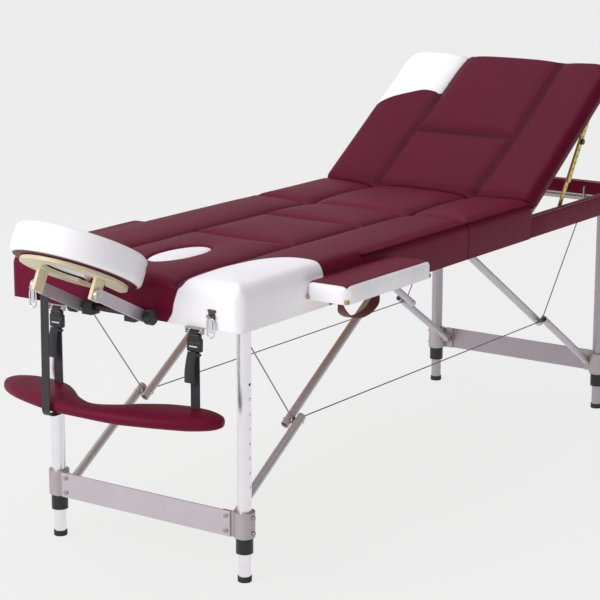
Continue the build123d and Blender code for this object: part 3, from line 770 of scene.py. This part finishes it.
EDGE_RADIUS = 0.023
padded_cover(
    "head_cover", (-SIDE - SKIN, -HEAD_END - SKIN, UNDERSIDE - 0.001), (SIDE + SKIN, -FOLD_GAP, PAD_TOP),
    EDGE_RADIUS, head_lines, 0.011, 0.018, 0.026, level, "head_half", "head_pad", pu_two,
    patch_outline, 1.0, corners=(0.021, 0.003), sink=plug_sink)
LEG_ROOM = (0.304, 0.6335)  # half width and height that the folded legs need under the seat's far edge
seat_lines = [
    [(-SEAM_X, -0.01), (-SEAM_X, SEAT_END + 0.01)],
    [(SEAM_X, -0.01), (SEAM_X, SEAT_END + 0.01)],
]
padded_cover(
    "seat_cover", (-SIDE - SKIN, FOLD_GAP, UNDERSIDE - 0.001), (SIDE + SKIN, SEAT_END, PAD_TOP),
    EDGE_RADIUS, seat_lines, 0.012, 0.018, 0.026, level, "foot_half", "seat_pad", pu_maroon, None, 2.0,
    corners=(0.003, 0.003), lift=LEG_ROOM)

# ------------------------------------------------------------------ backrest
RECLINE = math.radians(34)
hinge = next(j for j in frame["joints"] if j["name"] == "backrest_recline")
HINGE = Vector(hinge["pos_m"])
back_matrix = Matrix.Translation(HINGE) @ Matrix.Rotation(RECLINE, 4, "X")
BACK_LENGTH = 0.588
far_seam = [(-0.150, 0.0), (-0.147, 0.170), (-0.138, 0.404), (-0.134, BACK_LENGTH + 0.01)]
near_seam = [(0.151, 0.0), (0.163, 0.135), (0.172, 0.263), (0.167, BACK_LENGTH + 0.01)]
back_lines = [far_seam, near_seam, [(-0.146, 0.252), (0.172, 0.254)]]
back_patch = curve_through([
    (-0.470, 0.262), (-0.346, 0.273), (-0.324, 0.319), (-0.285, 0.359), (-0.232, 0.387), (-0.192, 0.405),
    (-0.155, 0.406), (-0.139, 0.408), (-0.137, 0.50), (-0.134, 0.60), (-0.134, 0.72), (-0.470, 0.72),
], 6, closed=True)
padded_cover(
    "backrest_cover", (-SIDE, 0.022, 0.0068), (SIDE, BACK_LENGTH, 0.046), 0.021,
    back_lines, 0.010, 0.017, 0.026, back_matrix, "backrest", "backrest_pad", pu_back_painted_shade, back_patch, 3.0,
    corners=(0.022, 0.060))

# ------------------------------------------------------------------ armrests
ARMREST_RODS, ROD_Z = (-0.640, -0.440), 0.632
for name, side in (("near", 1), ("far", -1)):
    low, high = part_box(f"{name}_armrest")
    inner_x, outer_x = sorted((side * (SIDE + 0.004), side * (SIDE + 0.116)))
    centre_x = (inner_x + outer_x) / 2
    half_x, half_v = (outer_x - inner_x) / 2, (high.y - low.y) / 2
    matrix = Matrix.Translation(Vector((centre_x, (low.y + high.y) / 2, 0)))
    edge = 0.006
    outline = [(-half_x + edge, -half_v + edge), (half_x - edge, -half_v + edge),
               (half_x - edge, half_v - edge), (-half_x + edge, half_v - edge)]
    two_colours = leather(f"pu_armrest_{name}", WHITE, MAROON, attribute="patch")
    cover = padded_cover(
        f"{name}_armrest_cover", (-half_x, -half_v, low.z + 0.0005), (half_x, half_v, high.z), 0.010,
        [], 0.004, 0, 0.01, matrix, f"{name}_armrest_body", None,
        two_colours, np.array(outline), 4.0 + side, under=0.010, corners=(0.020, 0.020))
    parts = Builder()
    board_low = Vector((inner_x + 0.002, low.y + 0.002, low.z + 0.0007))
    board_high = Vector((outer_x - 0.002, high.y - 0.002, low.z + 0.010))
    parts.slab(board_low, board_high, 0.001, 2)
    parts.finish(f"{name}_armrest_board", plywood, f"{name}_armrest_body")
    rods = Builder()
    for v in ARMREST_RODS:
        outer_end = place(side * (SIDE + 0.006), v, ROD_Z)
        rods.rod(place(side * 0.297, v, ROD_Z), outer_end, 0.006, 20)
        rods.head(place(side * (SIDE + 0.0032), v, ROD_Z), Vector((side, 0, 0)), 0.010, 0.0012)
    rods.finish(f"{name}_armrest_rods", steel, f"{name}_armrest_body")
    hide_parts(f"{name}_armrest")

# ------------------------------------------------------------------ covered rails of the foot half
rail_cover = Builder()
TO_END = FOLD_Y + 0.945
RAIL_IN = 0.305
RAIL_SKIN = 0.0007
for side in (-1, 1):
    xs = sorted((side * (RAIL_IN - 0.0012), side * (SIDE + SKIN)))
    rail_cover.slab(Vector((xs[0], FOLD_Y + SEAT_END + 0.0005, UNDERSIDE - 0.0012)),
                    Vector((xs[1], TO_END + SKIN, RAIL_TOP + RAIL_SKIN)), 0.005, 3)
rail_cover.slab(Vector((-RAIL_IN, TO_END - 0.0212, UNDERSIDE - 0.0012)),
                Vector((RAIL_IN, TO_END + SKIN, RAIL_TOP + RAIL_SKIN)), 0.005, 3)
rail_cover.finish("foot_rail_covers", pu_maroon, "foot_half", "upholstery")

# ------------------------------------------------------------------ face hole plug
plug = Builder()
centre = place(0, PLUG_V, 0)
ring_count = 56
rings = []
for share, height in ((1.0, RAIL_TOP), (1.0, PAD_TOP - 0.006), (0.995, PAD_TOP - 0.003), (0.975, PAD_TOP),
                      (0.93, PAD_TOP + 0.0016), (0.80, PAD_TOP + 0.0027), (0.55, PAD_TOP + 0.0034),
                      (0.25, PAD_TOP + 0.0038)):
    turn = [2 * math.pi * i / ring_count for i in range(ring_count)]
    reach_x, reach_v = PLUG_HALF[0] * share, PLUG_HALF[1] * share
    rings.append([centre + Vector((reach_x * math.cos(a), reach_v * math.sin(a), height)) for a in turn])
plug.rings(rings)
plug_cover = plug.finish("face_plug_cover", pu_white, "face_plug", "plug_upholstery")
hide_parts("face_hole_plug")

# ------------------------------------------------------------------ face cradle cushion
CRADLE_TILT = math.radians(26)
cradle_matrix = Matrix.Translation(place(0, -1.097, 0.712)) @ Matrix.Rotation(-CRADLE_TILT, 4, "X")
MID = (0.098, 0.113)
HALF_WIDTH = (0.042, 0.039)
THICK = 0.068
OPEN = math.radians(24)


def cushion_section(turns, half_width, thick, power=6.0):
    """Section of the ring cushion: flat sides, a crowned top and rounded corners."""
    out = []
    for a in turns:
        c, s = math.cos(a), math.sin(a)
        r = (abs(c) ** power + abs(s) ** power) ** (-1 / power)
        across, up = c * r * half_width, s * r * thick / 2
        crease = 0.0026 * math.exp(-((up - thick * 0.20) / 0.003) ** 2) * (abs(c) > 0.4)
        out.append((across * (1 - crease / half_width), up + thick / 2))
    return out


cradle = Builder()
rings, heights = [], []
stations = 150
around = [2 * math.pi * i / 44 for i in range(44)]
for k in range(stations + 1):
    t = k / stations
    turn = math.pi / 2 + OPEN + (2 * math.pi - 2 * OPEN) * t
    end = min(t, 1 - t) * (2 * math.pi - 2 * OPEN) * MID[1]
    cap = math.sqrt(max(0.0, 1 - (1 - min(end / 0.016, 1)) ** 2)) * 0.94 + 0.06
    centre = Vector((MID[0] * math.cos(turn), MID[1] * math.sin(turn), 0))
    out = Vector((math.cos(turn) / MID[0], math.sin(turn) / MID[1], 0)).normalized()
    width = HALF_WIDTH[0] * abs(out.x) + HALF_WIDTH[1] * (1 - abs(out.x))
    ring = []
    for across, up in cushion_section(around, width * cap, THICK * (0.25 + 0.75 * cap)):
        lift = THICK * 0.375 * (1 - cap)
        ring.append(cradle_matrix @ (centre + out * across + Vector((0, 0, up + lift))))
        heights.append(up + lift)
    rings.append(ring)
cradle.rings(rings)
cradle_cover = cradle.finish("cradle_cushion_cover", pu_cradle, "cradle_head", "white_upholstery")
attribute = cradle_cover.data.attributes.new("patch", "FLOAT", "POINT")
attribute.data.foreach_set("value", (np.array(heights) - 0.0018).astype(np.float32))
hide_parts("cradle_cushion")

# ------------------------------------------------------------------ arm sling cushion
SLING_LOW, SLING_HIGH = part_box("sling_cushion")
outer_side = curve_through([(-0.318, -0.968), (-0.290, -1.004), (-0.215, -1.042), (-0.110, -1.070),
                            (0, -1.078), (0.110, -1.070), (0.215, -1.042), (0.290, -1.004),
                            (0.318, -0.968)], 12)
inner_side = curve_through([(-0.318, -0.968), (-0.303, -0.940), (-0.262, -0.923), (-0.205, -0.918),
                            (-0.155, -0.931), (-0.110, -0.960), (-0.060, -0.998), (0, -1.020),
                            (0.060, -0.998), (0.110, -0.960), (0.155, -0.931), (0.205, -0.918),
                            (0.262, -0.923), (0.303, -0.940), (0.318, -0.968)], 12)
sling = Builder()
rings = []
stations = 96
SLING_MIDDLE, SLING_STRETCH = -0.018, 0.975
SLING_HALF, SLING_POWER = 0.3172, 2.7
for k in range(stations + 1):
    x = -SLING_HALF * math.cos(math.pi * k / stations)
    out_v = np.interp(x, outer_side[:, 0], outer_side[:, 1])
    in_v = np.interp(x, inner_side[:, 0], inner_side[:, 1])
    half = (in_v - out_v) / 2
    thick = (SLING_HIGH.z - SLING_LOW.z) / 2 * min(1, math.sqrt(max(0.015, half / 0.052)))
    middle_z = SLING_LOW.z + (SLING_HIGH.z - SLING_LOW.z) * 0.5
    ring = []
    for i in range(36):
        a = 2 * math.pi * i / 36
        c, s = math.cos(a), math.sin(a)
        r = (abs(c) ** SLING_POWER + abs(s) ** SLING_POWER) ** (-1 / SLING_POWER)
        bulge = 1.0 if s < 0 else 1.10
        ring.append(place(SLING_MIDDLE + SLING_STRETCH * x, (in_v + out_v) / 2 + c * r * half,
                          middle_z + s * r * thick * bulge))
    rings.append(ring)
sling.rings(rings)
sling_cover = sling.finish("sling_cover", pu_maroon, "sling", "upholstery")
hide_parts("sling_cushion")

# ------------------------------------------------------------------ sling straps and buckles
across = Vector((1, 0, 0))
for side_name, x in (("far", -0.182), ("near", 0.208)):
    strap = Builder()
    strap.ribbon([place(x, -0.952, z) for z in np.linspace(0.400, 0.545, 18)], across, 0.025, 0.002)
    loop = curve_through([(-0.9485, 0.568), (-0.9475, 0.579), (-0.952, 0.5848), (-0.9565, 0.579),
                          (-0.9555, 0.568)], 6)
    strap.ribbon([place(x, v, z) for v, z in loop], across, 0.022, 0.0018)
    tail = curve_through([(-0.957, 0.536), (-0.963, 0.515), (-0.967, 0.490), (-0.966, 0.468)], 6)
    strap.ribbon([place(x - 0.004, v, z) for v, z in tail], across, lambda t: 0.023 + 0.006 * t, 0.0017)
    piece = strap.finish(f"sling_strap_{side_name}", black_web, "sling", "black_webbing")
    if side_name == "near":
        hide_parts("sling_straps")
    buckle = Builder()
    for z0, z1, half in ((0.558, 0.576, 0.016), (0.536, 0.560, 0.019)):
        buckle.slab(place(x - half, -0.958, z0), place(x + half, -0.946, z1), 0.0035, 3)
    for s in (-1, 1):
        post_x = x + s * 0.0165
        buckle.slab(place(post_x - 0.003, -0.957, 0.545), place(post_x + 0.003, -0.947, 0.566), 0.0025, 3)
    buckle.slab(place(x - 0.017, -0.959, 0.527), place(x + 0.017, -0.950, 0.533), 0.0022, 3)
    buckle.finish(f"sling_buckle_{side_name}", black, "sling")
    slot_bar = Builder()
    slot_bar.slab(place(x - 0.011, -0.9592, 0.5465), place(x + 0.011, -0.9578, 0.5495), 0.0006, 2)
    slot_bar.finish(f"sling_buckle_bar_{side_name}", chrome, "sling")

front = Builder()
FRONT_X = -0.107
front_path = curve_through([(-1.0725, 0.668), (-1.076, 0.640), (-1.0775, 0.560), (-1.0785, 0.470),
                            (-1.0805, 0.400), (-1.0795, 0.378), (-1.068, 0.3695), (-1.040, 0.3690)], 10)
front.ribbon([place(FRONT_X, v, z) for v, z in front_path], across, 0.023, 0.0022)
front_piece = front.finish("sling_front_web", black_web, "sling", "black_webbing")
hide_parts("sling_front_strap")

# ------------------------------------------------------------------ carry handle
handle = Builder()
low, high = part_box("carry_handle")
span_v = (low.y - FOLD_Y, high.y - FOLD_Y)
HANDLE_X, HANDLE_TOP = 0.312, 0.587
path = []
for k in range(41):
    t = k / 40
    v = span_v[0] + (span_v[1] - span_v[0]) * (0.5 - 0.5 * math.cos(math.pi * t))
    drop = math.sin(math.pi * t) ** 0.75
    path.append(place(HANDLE_X, v, HANDLE_TOP - drop * (HANDLE_TOP - low.z - 0.002)))
handle.ribbon(path, across, lambda t: 0.010 + 0.017 * min(1, 6 * min(t, 1 - t)), 0.0035)
handle_piece = handle.finish("carry_handle_web", maroon_web, "handle", "webbing")
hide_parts("carry_handle")

# ------------------------------------------------------------------ catches on the head end
for name, side in (("near", 1), ("far", -1)):
    x = side * 0.252
    ring = Builder()
    loop = [(-0.0085, 0.610), (-0.0095, 0.590), (-0.0085, 0.578), (0, 0.5725),
            (0.0085, 0.578), (0.0095, 0.590), (0.0085, 0.610), (0, 0.6165)]
    path = [place(x + a, -0.9535, z) for a, z in curve_through(loop, 6, closed=True)]
    ring.tube(path, 0.0021, 12, closed=True)
    piece = ring.finish(f"{name}_catch_ring", chrome, f"{name}_hook")
    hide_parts(f"{name}_snap_hook")
    lever = Builder()
    lever.slab(place(x - 0.0052, -0.9555, 0.583), place(x + 0.0052, -0.9525, 0.616), 0.0012, 3)
    lever.finish(f"{name}_catch_lever", chrome, f"{name}_hook")
    base = Builder()
    base.slab(place(x - 0.009, -0.9512, 0.612), place(x + 0.009, -0.9462, 0.634), 0.0016, 3)
    base.rod(place(x - 0.011, -0.9535, 0.619), place(x + 0.011, -0.9535, 0.619), 0.0024)
    for s in (-1, 1):
        base.head(place(x + s * 0.0095, -0.9485, 0.6305), Vector((0, -1, 0)), 0.0028, 0.0016)
    base.finish(f"{name}_catch_base", gun_metal, "head_half")

# ------------------------------------------------------------------ wire cables and knee fittings
CABLE_RADIUS, DRAWN_RADIUS, CABLE_X = 0.0015, 0.00155, 0.221
KNEE_V, ANCHOR_V, ANCHOR_Z = 0.6013, 0.838, 0.600
for half, sign in (("head", -1), ("foot", 1)):
    knee_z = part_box(f"{half}_cables")[0].z + CABLE_RADIUS
    for side_name, side in (("far", -1), ("near", 1)):
        x = side * CABLE_X
        knee = place(x, sign * KNEE_V, knee_z)
        anchor = place(x, sign * ANCHOR_V, ANCHOR_Z)
        middle = place(x, sign * 0.0004, knee_z)
        tie = Builder()
        tie.tube([knee.lerp(anchor, t) for t in np.linspace(0.015, 1, 48)], DRAWN_RADIUS, 8)
        tie_piece = tie.finish(f"{half}_{side_name}_upper_cable", cable_steel, None)
        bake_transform(tie_piece)
        run = Builder()
        run.tube([knee.lerp(middle, t) for t in np.linspace(0.01, 1, 60)], DRAWN_RADIUS, 8)
        run_piece = run.finish(f"{half}_{side_name}_long_cable", cable_steel, f"{half}_upper_brace_pair")
        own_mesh(run_piece)
        if side > 0:
            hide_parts(f"{half}_cables")
        fitting = Builder()
        for far in (anchor, middle):
            direction = (far - knee).normalized()
            reach = 0.018 if far is anchor else 0.030
            fitting.turned(knee + direction * 0.009, knee + direction * reach,
                           [(0, 0.0022), (0.08, 0.0031), (0.92, 0.0031), (1, 0.0022)], 14)
        fitting.turned(knee + Vector((-0.0022, 0, 0)), knee + Vector((0.0022, 0, 0)),
                       [(0, 0.0075), (0.2, 0.0088), (0.8, 0.0088), (1, 0.0075)], 24)
        fitting.finish(f"{half}_{side_name}_cable_fittings", steel, f"{half}_upper_brace_pair")

# ------------------------------------------------------------------ studio
bpy.ops.mesh.primitive_plane_add(size=60, location=(0, 0, 0))
floor = bpy.context.object
floor.name = "studio_floor"
floor_material, tree, shader = new_material("pale_floor")
shader.inputs["Base Color"].default_value = (0.10, 0.10, 0.10, 1)
shader.inputs["Roughness"].default_value = 0.9
shader.inputs["Specular IOR Level"].default_value = 0
shader.inputs["Emission Color"].default_value = (0.835, 0.835, 0.835, 1)
shader.inputs["Emission Strength"].default_value = 0.93
floor.data.materials.append(floor_material)
floor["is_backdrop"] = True

# The sky is brighter on the head end's far side, in fixed directions of the room.
world = bpy.data.worlds.new("studio")
world.use_nodes = True
sky_tree = world.node_tree
direction = sky_tree.nodes.new("ShaderNodeTexCoord")
facing = sky_tree.nodes.new("ShaderNodeVectorMath")
facing.operation = "DOT_PRODUCT"
facing.inputs[1].default_value = (-0.62, -0.72, 0.30)
sky_tree.links.new(direction.outputs["Generated"], facing.inputs[0])
sky_tree.links.new(span(sky_tree, facing.outputs["Value"], -0.7, 1.0, 0.22, 1.30),
                   sky_tree.nodes["Background"].inputs["Strength"])
sky_tree.nodes["Background"].inputs["Color"].default_value = (0.83, 0.83, 0.835, 1)
bpy.context.scene.world = world
bpy.context.scene.view_settings.view_transform = "Standard"


def soft_light(name, position, target, size, power):
    data = bpy.data.lights.new(name, "AREA")
    data.energy = power
    data.shape, data.size, data.size_y = "RECTANGLE", size[0], size[1]
    light = bpy.data.objects.new(name, data)
    light.location = position
    light.rotation_euler = (Vector(target) - Vector(position)).to_track_quat("-Z", "Y").to_euler()
    bpy.context.scene.collection.objects.link(light)


soft_light("key", (-1.2, -3.6, 2.2), (0, 0, 0.6), (2.2, 1.6), 54)
soft_light("top", (-0.4, 0.4, 3.6), (0, 0.2, 0.6), (2.6, 2.6), 24)

LENS, CAMERA_PLACE = 122.76, (2.81417, -4.17500, 1.62220)
camera_data = bpy.data.cameras.new("camera")
camera_data.sensor_width, camera_data.sensor_height = 36, 36
camera_data.lens = LENS
camera = bpy.data.objects.new("camera", camera_data)
bpy.context.scene.collection.objects.link(camera)
turn, rise, roll = math.radians(34.709), math.radians(12.882), math.radians(0.088)
back = Vector((math.sin(turn) * math.cos(rise), -math.cos(turn) * math.cos(rise), math.sin(rise)))
right = Vector((math.cos(turn), math.sin(turn), 0))
up = back.cross(right)
pose = Matrix((right, up, back)).transposed().to_4x4() @ Matrix.Rotation(roll, 4, "Z")
camera.matrix_world = Matrix.Translation(Vector(CAMERA_PLACE)) @ pose
bpy.context.scene.camera = camera

low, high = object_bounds()
